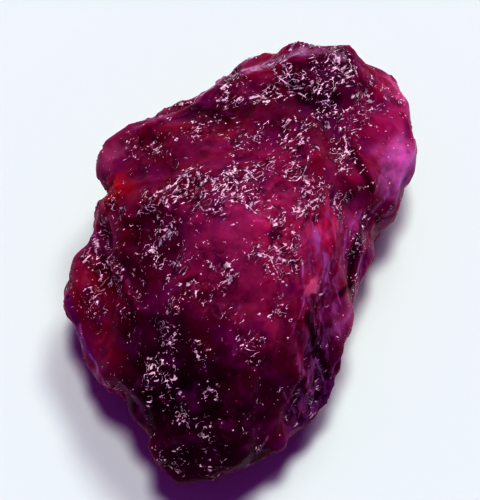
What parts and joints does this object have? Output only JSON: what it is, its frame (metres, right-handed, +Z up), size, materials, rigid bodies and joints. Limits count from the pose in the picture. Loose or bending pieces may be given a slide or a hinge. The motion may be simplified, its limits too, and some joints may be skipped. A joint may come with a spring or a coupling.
{
  "type": "red beryl crystal",
  "caption": "Rough, uncut red gem crystal: an irregular translucent crimson lump with a pitted top, a side flange, a lobe and a fluted flank, lying on a flat underside.",
  "frame": {"origin": "middle of the stone's box in plan, at the height of the flat underside it rests on", "axes": "+Z up, out of the pitted top; +Y along the stone's length, towards its broad end; +X towards the side with the lobe and the fluted flank"},
  "size_m": [0.0212, 0.0268, 0.013],
  "materials": {
    "gem": "glossy, etched natural surface, translucent crimson to magenta"
  },
  "bodies": {
    "root": {"crystal": "gem"}
  },
  "joints": []
}
